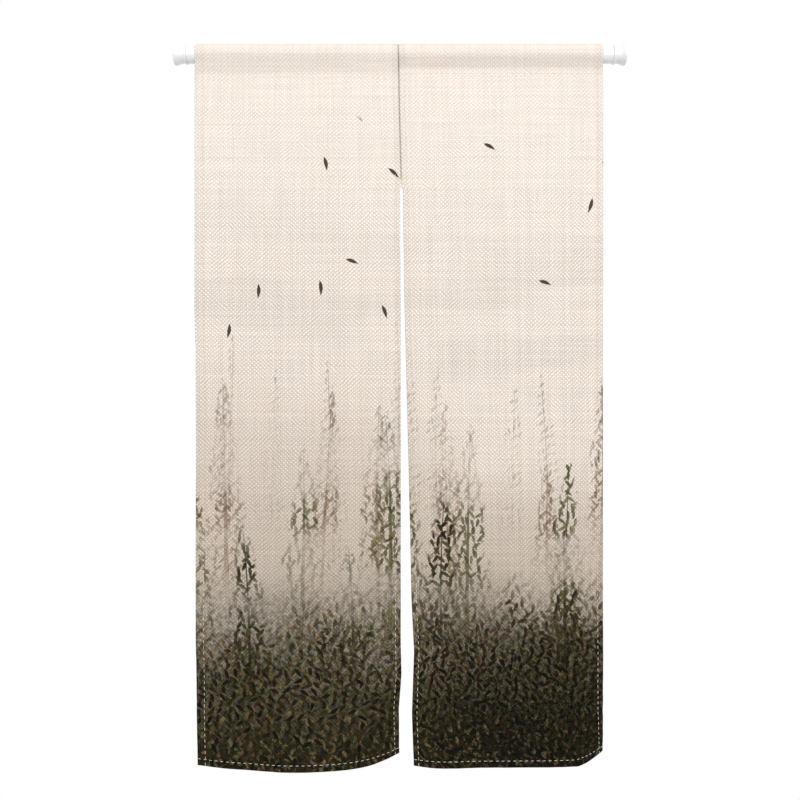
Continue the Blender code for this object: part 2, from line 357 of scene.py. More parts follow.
def place_across(cloth, places, drop, depth):
    """Sideways positions, drawn in where the cloth turns away and held to the panel's edges."""
    steps = np.diff(places)[None, :]
    least = (LEAST_SPAN * steps) ** 2
    spans = np.sqrt(np.maximum(steps**2 - np.diff(depth, axis=1) ** 2, least))
    reached = np.hstack([np.zeros((len(depth), 1)), np.cumsum(spans, axis=1)])
    share = reached / reached[:, -1:]
    drops = [edge.drop for edge in cloth.edges]
    left = np.interp(drop, drops, [edge.left for edge in cloth.edges])
    right = np.interp(drop, drops, [edge.right for edge in cloth.edges])
    return left + (right - left) * share


def side_sewing(cloth):
    """Distances of the two side hems' sewing from the left and the right edge."""
    if cloth.outer_side == "left":
        return cloth.outer_sewing, SLIT_SEWING
    return SLIT_SEWING, cloth.outer_sewing


def spaced(places, least):
    """Sorted places without those that lie too close to the one before."""
    kept = []
    for place in sorted(places):
        if not kept or place - kept[-1] >= least:
            kept.append(place)
    return kept


def edge_and_sewing(sewing):
    """Distances from a hemmed edge that need a row or column of points."""
    hem = sewing + HEM_MARGIN
    near = [*EDGE_PLACES, *(sewing + s for s in SEWING_PLACES), hem, hem + HEM_STEP]
    return spaced(near, LEAST_CELL)


def column_places(cloth):
    """Places across the panel, closer together along its hems."""
    left, right = (edge_and_sewing(s) for s in side_sewing(cloth))
    inner = PANEL_WIDTH - left[-1] - right[-1]
    between = np.linspace(left[-1], PANEL_WIDTH - right[-1], round(inner / CELL) + 1)
    return np.array([*left, *between[1:-1], *reversed([PANEL_WIDTH - r for r in right])])


def body_rows(first_drop, foot):
    """Drops of the rows below the pocket, for every column."""
    hem = np.array(edge_and_sewing(FOOT_SEWING)[::-1])
    last = foot - hem[0]
    seam = np.linspace(first_drop, SLIT_HEAD, round((SLIT_HEAD - first_drop) / CELL) + 1)
    count = round((CLOTH_LENGTH - SLIT_OPEN - hem[0]) / CELL)
    spread = np.linspace(0.0, 1.0, count + 1)[:, None]
    ones = np.ones(len(foot))
    return np.vstack(
        [seam[:, None] * ones, SLIT_OPEN + (last - SLIT_OPEN) * spread, foot - hem[1:, None]]
    )


def cloth_grid(cloth, places):
    """Outer face of a panel from the sewn end behind the rod to the foot, and its flat lengths."""
    half = half_pocket(cloth.pocket_drop)
    seam_end = half[-1][1] - POCKET_SEAM
    tail = [(half[-1][0], seam_end + place) for place in TAIL_PLACES]
    over = np.array(tail + half[:0:-1] + [(-outward, height) for outward, height in half[:-1]])
    depth = np.repeat(over[:, :1], len(places), axis=1)
    height = np.repeat(over[:, 1:], len(places), axis=1)
    sideways = place_across(cloth, places, crest_height() - height, depth)
    across = places / PANEL_WIDTH
    foot = CLOTH_LENGTH - sum(curl.rise * curl_share(curl, across) for curl in cloth.curls)
    drop = body_rows(crest_height() - half[-1][1], foot)
    body_depth = -half[-1][0] + fold_depth(cloth, across[None, :], drop)
    falls = np.sqrt(np.maximum(np.diff(drop, axis=0) ** 2 - np.diff(body_depth, axis=0) ** 2, 0.0))
    body_height = half[-1][1] - np.vstack([np.zeros(len(places)), np.cumsum(falls, axis=0)])
    body_x = place_across(cloth, places, drop, body_depth)
    grid = np.stack(
        [
            np.vstack([sideways, body_x]),
            np.vstack([depth, body_depth]),
            np.vstack([height, body_height]),
        ],
        axis=2,
    )
    steps = np.hypot(*np.diff(over, axis=0).T)
    along = np.concatenate([[0.0], np.cumsum(steps)])
    along -= along[len(tail) + len(half) - 1]
    pocket_length = along[-1] + math.dist(over[-1], (-half[-1][0], half[-1][1]))
    flat = np.vstack(
        [
            np.repeat(along[:, None], len(places), axis=1),
            pocket_length + drop - drop[0],
        ]
    )
    return grid, flat, pocket_length


def grid_normals(grid):
    """Outward unit normals of the outer face at each point of the grid."""
    down = np.gradient(grid, axis=0)
    side = np.gradient(grid, axis=1)
    normals = np.cross(down, side)
    return normals / np.linalg.norm(normals, axis=2, keepdims=True)


def wander(across, along, size, stretch, seed):
    """Smooth unevenness between about -1 and 1, the same each run."""
    draw = random.Random(seed)
    total = np.zeros(np.broadcast(across, along).shape)
    for _ in range(WAVES):
        turn = draw.uniform(0.0, math.tau)
        wave = math.tau / (size * draw.uniform(*WAVE_SHARES))
        way = across * math.cos(turn) + along * math.sin(turn) / stretch
        total += np.sin(wave * way + draw.uniform(0.0, math.tau))
    return total / math.sqrt(WAVES)


def bump_at(distance, place, width):
    """A smooth bump of height 1 along one line of the cloth."""
    return np.exp(-(((distance - place) / width) ** 2))


def rolled(distance, depth):
    """How far a rolled edge lies back, at a distance from the edge."""
    left = np.clip(1.0 - distance / (ROLL_REACH * depth), 0.0, 1.0)
    return depth * (1.0 - np.sqrt(np.maximum(1.0 - left**2, 0.0)))


def dress_grid(cloth, settings, grid, flat, places):
    """Adds rolled edges, drawn-in sewing, puckered hems and slack to the plain hanging cloth."""
    normals = grid_normals(grid)
    left_sewing, right_sewing = side_sewing(cloth)
    from_left = places[None, :] * np.ones(flat.shape)
    from_right = PANEL_WIDTH - from_left
    from_foot = flat[-1:, :] - flat
    in_seam = np.clip((SEAM_END - flat) / SEAM_FADE, 0.0, 1.0)
    joined = "right" if cloth.outer_side == "left" else "left"
    sunk = np.zeros(flat.shape)
    for side, distance, sewing in (
        ("left", from_left, left_sewing),
        ("right", from_right, right_sewing),
    ):
        roll = rolled(distance, settings.edge_roll)
        if side == joined:
            roll = roll + in_seam * (rolled(distance, settings.seam_roll) - roll)
        sunk += roll + settings.sewing_pull * bump_at(distance, sewing, GROOVE_WIDTH)
        pucker = wander(ACROSS_WAVES * distance, flat, SIDE_WAVES, 1.0, cloth.name + side)
        sunk += settings.hem_pucker * pucker * bump_at(distance, 0.0, HEM_FADE * sewing)
    sunk += rolled(from_foot, settings.edge_roll)
    sunk += settings.sewing_pull * bump_at(from_foot, FOOT_SEWING, GROOVE_WIDTH)
    pucker = wander(from_left, ACROSS_WAVES * from_foot, FOOT_WAVES, 1.0, cloth.name + "foot")
    sunk += settings.hem_pucker * pucker * bump_at(from_foot, 0.0, HEM_FADE * FOOT_SEWING)
    slack = wander(from_left, flat, SLACK_SIZE, SLACK_STRETCH, cloth.name + "slack")
    below = np.clip((flat - SLACK_BEGINS) / SLACK_GROWTH, 0.0, 1.0)
    sunk += settings.slack * below * slack
    dressed = grid - normals * sunk[..., None]
    toward = 1.0 if joined == "right" else -1.0
    from_seam = from_right if joined == "right" else from_left
    near = np.clip(1.0 - from_seam / REACH_WIDTH, 0.0, 1.0)
    dressed[..., 0] += toward * SEAM_REACH * in_seam * near
    return dressed


def hem_share(cloth, flat, places):
    """1 where the cloth is a turned hem and 0 elsewhere."""
    left, right = (sewing + HEM_MARGIN for sewing in side_sewing(cloth))
    sides = np.minimum(places - left, PANEL_WIDTH - places - right)[None, :]
    inside = np.minimum(sides, flat[-1:, :] - flat - FOOT_SEWING - HEM_MARGIN)
    return 1.0 - np.clip(inside / HEM_STEP, 0.0, 1.0)


def painted_seam_shade(cloth, flat, places):
    """Painted shade: 1 in the fold of the seam between the panels, fading over a few millimetres."""
    distance = PANEL_WIDTH - places if cloth.outer_side == "left" else places
    near = np.clip(1.0 - distance / SHADE_WIDTH, 0.0, 1.0)[None, :]
    return near * np.clip((SHADE_END - flat) / SHADE_FADE, 0.0, 1.0)


def grid_mesh(name, grid):
    """Mesh of quads over a grid of points, facing the viewer's side."""
    rows, columns = grid.shape[:2]
    index = np.arange(rows * columns).reshape(rows, columns)
    quads = np.stack([index[:-1, :-1], index[1:, :-1], index[1:, 1:], index[:-1, 1:]], axis=2)
    mesh = bpy.data.meshes.new(name)
    mesh.from_pydata(grid.reshape(-1, 3).tolist(), [], quads.reshape(-1, 4).tolist())
    mesh.shade_smooth()
    return mesh


def add_uv(mesh, across, up):
    """Lays the flat cloth out in metres as the UV map cloth."""
    layer = mesh.uv_layers.new(name="cloth")
    corners = np.empty(len(mesh.loops), dtype=np.int32)
    mesh.loops.foreach_get("vertex_index", corners)
    flat = np.stack([across.ravel(), up.ravel()], axis=1)[corners]
    layer.data.foreach_set("uv", flat.ravel().astype(np.float32))


def add_value(mesh, name, values):
    """Stores one number a point under a name that the materials read."""
    attribute = mesh.attributes.new(name, "FLOAT", "POINT")
    attribute.data.foreach_set("value", values.ravel().astype(np.float32))


def link(name, data, materials=()):
    """Adds a mesh, a light or a camera to the scene as an object at the origin."""
    thing = bpy.data.objects.new(name, data)
    for material in materials:
        data.materials.append(material)
    bpy.context.scene.collection.objects.link(thing)
    return thing


def dressed_grid(cloth, settings):
    """The finished outer face of a panel with its flat lengths and places."""
    places = column_places(cloth)
    grid, flat, pocket_length = cloth_grid(cloth, places)
    return dress_grid(cloth, settings, grid, flat, places), flat, places, pocket_length


# Node helpers


# How the nodes of a tree are laid out in the editor
NODES_IN_COLUMN = 8
COLUMN_STEP = 180
ROW_STEP = 170


def arithmetic(operation, turned=False):
    """A method that adds one math node for a Sum, its terms turned round where asked."""

    def method(self, *others):
        terms = (*others, self) if turned else (self, *others)
        return self.graph.math(operation, *terms)

    return method


class Sum:
    """A number in a node tree, so that sums can be written as plain arithmetic."""

    __add__ = arithmetic("ADD")
    __radd__ = arithmetic("ADD", turned=True)
    __sub__ = arithmetic("SUBTRACT")
    __rsub__ = arithmetic("SUBTRACT", turned=True)
    __mul__ = arithmetic("MULTIPLY")
    __rmul__ = arithmetic("MULTIPLY", turned=True)
    __truediv__ = arithmetic("DIVIDE")
    __pow__ = arithmetic("POWER")
    __abs__ = arithmetic("ABSOLUTE")
    sin = arithmetic("SINE")
    cos = arithmetic("COSINE")
    floor = arithmetic("FLOOR")
    fraction = arithmetic("FRACT")
    most = arithmetic("MAXIMUM")
    least = arithmetic("MINIMUM")

    def __init__(self, graph, socket):
        self.graph = graph
        self.socket = socket

    def step(self, start, end, first=0.0, last=1.0):
        """Smooth change from first to last as the number goes from start to end."""
        numbers = dict(enumerate((self, start, end, first, last)))
        node = self.graph.node("ShaderNodeMapRange", numbers, interpolation_type="SMOOTHSTEP")
        return Sum(self.graph, node.outputs[0])


class Graph:
    """Adds nodes to one tree and joins them."""

    def __init__(self, tree):
        self.tree = tree
        self.count = 0

    def node(self, kind, inputs=None, **options):
        """Adds a node with its options, and joins or sets its inputs by name or place."""
        node = self.tree.nodes.new(kind)
        column, row = divmod(self.count, NODES_IN_COLUMN)
        node.location = (COLUMN_STEP * column, -ROW_STEP * row)
        self.count += 1
        for name, value in options.items():
            setattr(node, name, value)
        for name, value in (inputs or {}).items():
            self.put(value, node.inputs[name])
        return node

    def put(self, value, socket):
        """Joins a number or socket to an input, or sets the input to a plain value."""
        if isinstance(value, Sum):
            value = value.socket
        if isinstance(value, bpy.types.NodeSocket):
            self.tree.links.new(value, socket)
        elif socket.type == "RGBA":
            socket.default_value = (*value, 1.0)
        else:
            socket.default_value = value

    def math(self, operation, *terms):
        """The result of one math node."""
        node = self.node("ShaderNodeMath", dict(enumerate(terms)), operation=operation)
        return Sum(self, node.outputs[0])

    def colour(self, *shares):
        """A colour of three numbers."""
        return self.node("ShaderNodeCombineColor", dict(enumerate(shares))).outputs[0]

    def three(self, kind, source):
        """The three numbers of a vector, or of a colour."""
        node = self.node(kind, {0: source})
        return [Sum(self, socket) for socket in node.outputs]

    def object_place(self):
        """Place on the object, in metres."""
        return self.node("ShaderNodeTexCoord").outputs["Object"]

    def stored(self, name):
        """A number that the mesh keeps under a name."""
        return Sum(self, self.node("ShaderNodeAttribute", attribute_name=name).outputs["Fac"])

    def noise(self, place, scale, shift=(0, 0, 0), detail=2.0, roughness=0.5, space="3D"):
        """Noise between 0 and 1, its scale one number or one for each axis."""
        scale = scale if isinstance(scale, tuple) else (scale, scale, scale)
        mapping = self.node("ShaderNodeMapping", {"Vector": place, "Location": shift, "Scale": scale})
        values = {"Vector": mapping.outputs["Vector"], "Scale": 1.0}
        values.update({"Detail": detail, "Roughness": roughness})
        node = self.node("ShaderNodeTexNoise", values, noise_dimensions=space)
        return Sum(self, node.outputs["Fac"])

    def flat_noise(self, *values, **options):
        """Noise over the flat cloth, which needs no third axis."""
        return self.noise(*values, space="2D", **options)

    def random(self, number):
        """White noise node that draws anew for each value of a number."""
        return self.node("ShaderNodeTexWhiteNoise", {"W": number}, noise_dimensions="1D")

    def draws(self, number):
        """Three random numbers for each value of a number."""
        return self.three("ShaderNodeSeparateColor", self.random(number).outputs["Color"])

    def draw(self, number):
        """One random number for each value of a number."""
        return Sum(self, self.random(number).outputs["Value"])

    def blend(self, share, first, second, kind="MIX"):
        """A colour between two, or another blend of them. A Mix node has its colours at 6 and 7."""
        values = {0: share, 6: first, 7: second}
        return self.node("ShaderNodeMix", values, data_type="RGBA", blend_type=kind).outputs[2]

    def toned(self, colour, tone):
        """A colour made lighter or darker by a number."""
        return self.blend(1.0, colour, self.colour(tone, tone, tone), "MULTIPLY")

    def ramp(self, value, stops):
        """Colours at places from 0 to 1, with smooth passages."""
        node = self.node("ShaderNodeValToRGB", {0: value})
        node.color_ramp.interpolation = "B_SPLINE"
        points = node.color_ramp.elements
        points.remove(points[1])
        points[0].position = stops[0][0]
        points[0].color = (*paint(stops[0][1]), 1.0)
        for place, colour in stops[1:]:
            points.new(place).color = (*paint(colour), 1.0)
        return node.outputs[0]

    def bump(self, height, strength, distance):
        """A normal for small relief, its distance in metres."""
        values = {"Strength": strength, "Distance": distance, "Height": height}
        return self.node("ShaderNodeBump", values).outputs["Normal"]

    def group(self, name, plants, **values):
        """The numbers that a node group gives. Its inputs are values, or else fields of plants."""
        values = {**plants._asdict(), **values}
        node = self.node("ShaderNodeGroup", node_tree=bpy.data.node_groups[name])
        for socket in node.inputs:
            self.put(values[socket.name.lower()], socket)
        return {socket.name: Sum(self, socket) for socket in node.outputs}


def new_group(name, inputs, outputs):
    """A shader node group of plain numbers, its inputs by name, and its closing node.

    Plain numbers keep the working memory of the render engine small, however many groups
    one material holds.
    """
    tree = bpy.data.node_groups.new(name, "ShaderNodeTree")
    for labels, way in ((inputs, "INPUT"), (outputs, "OUTPUT")):
        for label in labels:
            tree.interface.new_socket(label, in_out=way, socket_type="NodeSocketFloat")
    g = Graph(tree)
    entry = g.node("NodeGroupInput")
    given = {socket.name: Sum(g, socket) for socket in entry.outputs if socket.name}
    return g, given, g.node("NodeGroupOutput")


def new_material(name):
    """A material with only a Principled BSDF, the graph of its tree and the shader's inputs."""
    material = bpy.data.materials.new(name)
    material.use_nodes = True
    inputs = material.node_tree.nodes["Principled BSDF"].inputs
    return material, Graph(material.node_tree), inputs


# Printed design: a bamboo grove in mist

# Leaves lie one in each cell of a slanting grid. Cells are squeezed across, each row is shifted,
# and a leaf strays from the middle, all as shares of the spacing. The seed shifts the whole grid.
LEAF_SQUEEZE = 1.35
ROW_SHIFT = 0.43
LEAF_STRAY = 0.34
SEED_ACROSS = 0.37
SEED_UP = 0.61

# A leaf's half length as a share of its length: the least, and what two draws add. Then the bend
# of its middle line, the roundness and taper of its outline, its soft edge and its soft ends
HALF_LENGTH = (0.34, 0.10, 0.06)
LEAF_BEND = 0.10
LEAF_ROUNDNESS = 1.25
LEAF_TAPER = 0.35
LEAF_EDGE = 0.10
LEAF_ENDS = (1.0, 0.93)

# Canes: how far one strays from its place, as a share of the spacing, how much it leans, how far
# its tip bows and over what length, its width as a share at least and at random, and how it
# narrows, softens and ends
CANE_STRAY = 0.44
CANE_LEAN = 0.10
TIP_BOW = 0.035
TIP_LENGTH = 0.30
CANE_WIDTH = (0.55, 0.75)
CANE_TAPER = (0.0, 0.45, 0.25, 1.0)
CANE_LEAST = 0.0005
CANE_EDGE = (0.0005, -0.0005)
CANE_END = (0.0, 0.03)

# The crown's plume widens downwards. A dark ring lies on both sides of each joint.
CROWN_LENGTH = 0.32
CROWN_FULLNESS = 0.6
CROWN_LEAST = 0.002
CROWN_END = (-0.005, 0.01)
RING = 0.035


def leaf_group():
    """Scattered slim leaves, each with a random tone."""
    inputs = ("X", "Y", "Spacing", "Length", "Width", "Turn", "Spread", "Slant", "Seed")
    g, given, leave = new_group("leaf_spray", inputs, ("Mask", "Tone"))
    x, y, spacing, slant, seed = (given[name] for name in ("X", "Y", "Spacing", "Slant", "Seed"))
    cosine, sine = slant.cos(), slant.sin()
    level = (y * cosine - x * sine) / spacing + seed * SEED_UP
    row = level.floor()
    across = (x * cosine + y * sine) * LEAF_SQUEEZE / spacing + seed * SEED_ACROSS + row * ROW_SHIFT
    column = across.floor()
    # Each cell has its own number, which feeds its draws
    cell = column * 12.9898 + row * 78.233 + seed * 3.71
    swing, long, tone = g.draws(cell)
    aside_draw, up_draw, longer = g.draws(cell + 31.7)
    off_x = (across - column - 0.5 - (aside_draw - 0.5) * LEAF_STRAY) * spacing / LEAF_SQUEEZE
    off_y = (level - row - 0.5 - (up_draw - 0.5) * LEAF_STRAY) * spacing
    angle = given["Turn"] - slant + (swing - 0.5) * given["Spread"] * 2.0
    cosine, sine = angle.cos(), angle.sin()
    least, by_first, by_second = HALF_LENGTH
    half = given["Length"] * (least + by_first * long + by_second * longer)
    along = (off_x * cosine + off_y * sine) / half
    aside = off_y * cosine - off_x * sine + along * along * half * LEAF_BEND
    body = (1.0 - along * along).most(0.0)
    wide = given["Width"] * 0.5 * (body**LEAF_ROUNDNESS) * (1.0 - LEAF_TAPER * along)
    soft = given["Width"] * LEAF_EDGE
    mask = (abs(aside) - wide).step(soft, soft * -1.0) * abs(along).step(*LEAF_ENDS)
    g.put(mask, leave.inputs["Mask"])
    g.put(tone, leave.inputs["Tone"])


def grove_group():
    """Upright bamboo canes with joints, and the plume of each one's crown."""
    inputs = ("X", "Y", "Spacing", "Width", "Top", "Wander", "Crown", "Joint", "Seed")
    g, given, leave = new_group("bamboo_grove", inputs, ("Cane", "Across", "Ring", "Plume"))
    x, y, spacing, seed = (given[name] for name in ("X", "Y", "Spacing", "Seed"))
    column = (x / spacing + seed * SEED_ACROSS).floor()
    # Each draw is fed another mix of column and seed
    stray, taller, lean = g.draws(column * 7.13 + seed * 3.3)
    bow = g.draw(column * 5.71 + seed * 9.1 + 40.0)
    thick = g.draw(column * 8.37 + seed * 4.3 + 90.0)
    middle = (column + 0.5 - seed * SEED_ACROSS + (stray - 0.5) * CANE_STRAY) * spacing
    below = given["Top"] + (taller - 0.5) * given["Wander"] - y
    curve = (1.0 - below / TIP_LENGTH).most(0.0)
    offset = x - middle - (lean - 0.5) * CANE_LEAN * y - (bow - 0.5) * TIP_BOW * curve * curve
    least, by_draw = CANE_WIDTH
    slim = given["Width"] * 0.5 * (least + by_draw * thick) * below.step(*CANE_TAPER)
    cane = (abs(offset) - slim).step(*CANE_EDGE) * below.step(*CANE_END)
    joint = (y / given["Joint"] + bow * 7.0).fraction()
    reach = given["Crown"] * (below / CROWN_LENGTH).most(0.0).least(1.0) ** CROWN_FULLNESS
    plume = (1.0 - abs(offset) / reach.most(CROWN_LEAST)) * below.step(*CROWN_END)
    ring = joint.step(0.0, RING, 1.0, 0.0) + joint.step(1.0 - RING, 1.0)
    g.put(cane, leave.inputs["Cane"])
    g.put(offset / slim.most(CANE_LEAST), leave.inputs["Across"])
    g.put(ring, leave.inputs["Ring"])
    g.put(plume, leave.inputs["Plume"])


# Rows of canes, from the palest behind to the darkest in front. Top is the canes' height, base
# the height where they fade in from the ground, haze how faint they are, leaf the spacing of
# their leaves, thick how closely the leaves fill a crown, and sprays how many layers they have.
Grove = namedtuple(
    "Grove", "seed spacing width top wander crown joint colour pale haze base leaf thick sprays"
)
GROVES = (
    Grove(1, 0.125, 0.007, 0.86, 0.16, 0.040, 0.060, "8C8377", "B6ACA0", 0.42, 0.42, 0.017, 0.45, 1),
    Grove(3, 0.160, 0.009, 0.74, 0.26, 0.050, 0.070, "6B503B", "9C866C", 0.28, 0.30, 0.020, 0.50, 2),
    Grove(4, 0.190, 0.010, 0.62, 0.24, 0.058, 0.075, "3A3B24", "6F6947", 0.12, 0.14, 0.022, 0.60, 2),
    Grove(5, 0.200, 0.012, 0.50, 0.20, 0.062, 0.085, "1B1B10", "454427", 0.02, 0.02, 0.024, 0.70, 2),
)

# Two directions in which leaves hang on a cane, with what each adds to the grove's seed
SPRAYS = ((-2.05, 0.0), (-1.15, 30.0))

# Leaf shape on the canes, in spacings of the leaves, and how far their directions spread
GROVE_LEAF = (1.45, 0.30)
GROVE_SPREAD = 0.65

# Tone across a cane from side to side, shares of its joints' rings and of the whole cane, and the
# plume's passages: from where leaves stand thick, and from its rim
CANE_SHADE = (-1.2, 1.2, 1.5, 0.85)
RING_SHARE = 0.5
CANE_SHARE = 0.9
PLUME_DENSE = (0.34, 0.44)
PLUME_RIM = (0.0, 0.12)

# Undergrowth at the foot, up to the height top, and single leaves adrift in the upper half
Thicket = namedtuple("Thicket", "seed top spacing length width turn spread colour pale")
THICKETS = (
    Thicket(11, 0.28, 0.024, 0.034, 0.0078, -1.9, 0.9, "2A1F11", "5E4B32"),
    Thicket(12, 0.25, 0.020, 0.029, 0.0062, -1.2, 1.0, "1B1E0D", "525336"),
    Thicket(13, 0.22, 0.021, 0.031, 0.0074, -1.6, 1.2, "020201", "2A230E"),
)
ADRIFT = Thicket(21, None, 0.135, 0.036, 0.0075, -0.8, 1.1, "4A4438", "4A4438")
THICKET_SLANT = 0.35

# Colours of the misty ground by height above the foot, as a share of the cloth's length
GROUND = (
    (0.00, "100E08"),
    (0.10, "3A3427"),
    (0.18, "91877A"),
    (0.25, "C3B6A7"),
    (0.36, "CCBFB1"),
    (0.47, "E2D6CA"),
    (0.58, "ECE0D5"),
    (0.78, "F0E5DA"),
    (1.00, "F7ECE2"),
)
BANK_COLOUR = "D6CEC4"
RING_COLOUR = "14130D"

# Shares of the noises: how far the mist drifts up and down in metres, how much banks of mist
# show, where clouds thin the groves, and how uneven the thickets' tops are and how they rise
MIST_DRIFT = 0.16
BANKS = (0.50, 0.62)
BANK_SHARE = 0.25
CLOUDS = (0.36, 0.64, 1.0, 0.25)
TOP_UNEVENNESS = 0.22
TOP_RISE = 0.05

# Passages: where each starts and ends, in metres across the cloth or above its foot, and for
# some the two values between which it changes
RIGHT_HALF = (0.30, 0.62)
RIGHT_SHIFT = (0.34, 0.66, -0.04, 0.14)
RIGHT_SHADE = (0.34, 0.10, 0.0, 0.55)
BANK_FOOT = (0.70, 0.82)
BANK_TOP = (1.22, 0.98)
MOTTLING = (0.42, 0.20, 0.0, 3.2)
ADRIFT_FOOT = (0.84, 0.86)
ADRIFT_TOP = (1.34, 1.32)
GROVE_FOOT = 0.16
THICKET_TOP = (0.05, -0.05)

# Of the leaves adrift only those with a tone past this passage are printed
ADRIFT_TONES = (0.70, 0.71)


def print_colour(g, uv, x, y):
    """Colour of the printed face at a place on the flat cloth."""
    drift = g.flat_noise(uv, (1.6, 5.0, 1.0)) - 0.5
    rightward = x.step(*RIGHT_HALF)
    level = y + rightward * y.step(*RIGHT_SHIFT) + drift * MIST_DRIFT
    colour = g.ramp(level / CLOTH_LENGTH, GROUND)
    bank = g.flat_noise(uv, (2.2, 11.0, 1.0), (4.0, 0.0, 0.0), detail=1.0, roughness=0.4)
    bank_share = bank.step(*BANKS) * y.step(*BANK_FOOT) * y.step(*BANK_TOP)
    colour = g.blend(bank_share * BANK_SHARE, colour, paint(BANK_COLOUR))
    clump = g.flat_noise(uv, 24.0, detail=1.0, roughness=0.6) - 0.5
    cloud = g.flat_noise(uv, (3.0, 7.0, 1.0), (9.0, 0.0, 0.0), roughness=0.55)
    clear = cloud.step(*CLOUDS)
    for grove in GROVES:
        colour = print_grove(g, x, y, colour, grove, clump, clear)
    uneven = (g.flat_noise(uv, (9.0, 4.5, 1.0), roughness=0.6) - 0.5) * TOP_UNEVENNESS
    uneven = uneven + rightward * TOP_RISE
    for thicket in (*THICKETS, ADRIFT):
        spray = g.group("leaf_spray", thicket, x=x, y=y, slant=thicket.seed * THICKET_SLANT)
        if thicket is ADRIFT:
            grown = spray["Tone"].step(*ADRIFT_TONES) * y.step(*ADRIFT_FOOT) * y.step(*ADRIFT_TOP)
        else:
            grown = (y - thicket.top - uneven).step(*THICKET_TOP)
        colour = print_leaves(g, colour, spray, thicket, grown)
    mottle = g.flat_noise(uv, 105.0, roughness=0.75) - 0.5
    shade = 1.0 + mottle * y.step(*MOTTLING) - rightward * y.step(*RIGHT_SHADE)
    return g.toned(colour, shade)


def print_leaves(g, colour, spray, plants, share):
    """Adds a spray's leaves, each between the two colours of its plants, where share allows."""
    leaf = g.blend(spray["Tone"], paint(plants.colour), paint(plants.pale))
    return g.blend(spray["Mask"] * share, colour, leaf)


def print_grove(g, x, y, colour, grove, clump, clear):
    """Adds one row of canes with their leaves in front of what is printed so far."""
    found = g.group("bamboo_grove", grove, x=x, y=y)
    mist = clear * (1.0 - grove.haze) * y.step(grove.base, grove.base + GROVE_FOOT)
    wood = g.toned(paint(grove.colour), found["Across"].step(*CANE_SHADE))
    wood = g.blend(found["Ring"] * RING_SHARE, wood, paint(RING_COLOUR))
    colour = g.blend(found["Cane"] * mist * CANE_SHARE, colour, wood)
    plume = found["Plume"]
    sparse, full = PLUME_DENSE
    dense = (plume + clump).step(sparse - grove.thick * 0.5, full) * plume.step(*PLUME_RIM) * mist
    length, width = (grove.leaf * share for share in GROVE_LEAF)
    for turn, twin in SPRAYS[: grove.sprays]:
        leaves = {"spacing": grove.leaf, "length": length, "width": width, "turn": turn}
        leaves.update({"spread": GROVE_SPREAD, "seed": grove.seed + twin})
        slant = 0.3 + twin * 0.02 + grove.seed * 0.2
        spray = g.group("leaf_spray", grove, x=x, y=y, slant=slant, **leaves)
        colour = print_leaves(g, colour, spray, grove, dense)
    return colour


# Woven cloth

# Yarns sway a little from their straight lines. The diagonal look leans to one side or the other
# between two shares, and the gaps between yarns take a dark colour as painted shade.
YARN_SWAY = 0.0046
SWAY_SCALE = 42.0
LEAN = (0.34, 0.62, 0.30, 0.70)
GAPS = (0.30, 1.0)
GAP_SHADE_COLOUR = "3E382C"
GAP_SHADE_SHARE = 0.30

# The weave is plainest to see at the foot and weaker where the print is palest
WEAVE_CONTRAST = (1.00, 1.52, 1.0, 0.50)

# How much each part of the cloth changes its tone. The hem and seam shares are painted shade,
# and the check share is partly painted shading of the yarns.
BASE_TONE = 1.05
CHECK_TONE = 0.26
YARN_TONE = 0.06
SLUB_TONE = 0.14
FIBRE_TONE = 0.06
HEM_PAINTED_SHADE = 0.035
SEAM_PAINTED_SHADE = 0.30
WARM_TINT = 0.030
COOL_TINT = 0.035

# How far the yarn's own colour hides the print at the back
BACK_FADE = 0.58


def weave(g, uv, x, y, settings):
    """Yarn crossings' tone, partly painted shading, height of the yarns, and unevenness of yarns and
    fibres.
    """
    sway = g.flat_noise(uv, SWAY_SCALE, detail=1.0, roughness=0.9) - 0.5
    sway_up = g.flat_noise(uv, SWAY_SCALE, (130.0, 78.0, 0.0), detail=1.0, roughness=0.9) - 0.5
    warp = (x + sway * YARN_SWAY) / settings.warp_pitch
    weft = (y + sway_up * YARN_SWAY) / settings.weft_pitch
    turn_x, turn_y = warp * math.pi, weft * math.pi
    lean = g.flat_noise(uv, 14.0, (30.0, 105.0, 0.0), roughness=0.8).step(*LEAN)
    checks = (turn_x - turn_y).cos() * lean - (turn_x + turn_y).cos() * (1.0 - lean)
    over = abs(turn_x.sin() * turn_y.sin()) ** 0.5
    yarns = g.draw(warp.floor()) + g.draw(weft.floor() + 900.0) - 1.0
    upright_slubs = g.flat_noise(uv, (240.0, 9.0, 1.0), detail=1.0)
    level_slubs = g.flat_noise(uv, (9.0, 250.0, 1.0), detail=1.0)
    fibre = g.flat_noise(uv, (2600.0, 700.0, 1.0), detail=1.0, roughness=0.6) - 0.5
    return checks, over, yarns, upright_slubs + level_slubs - 1.0, fibre


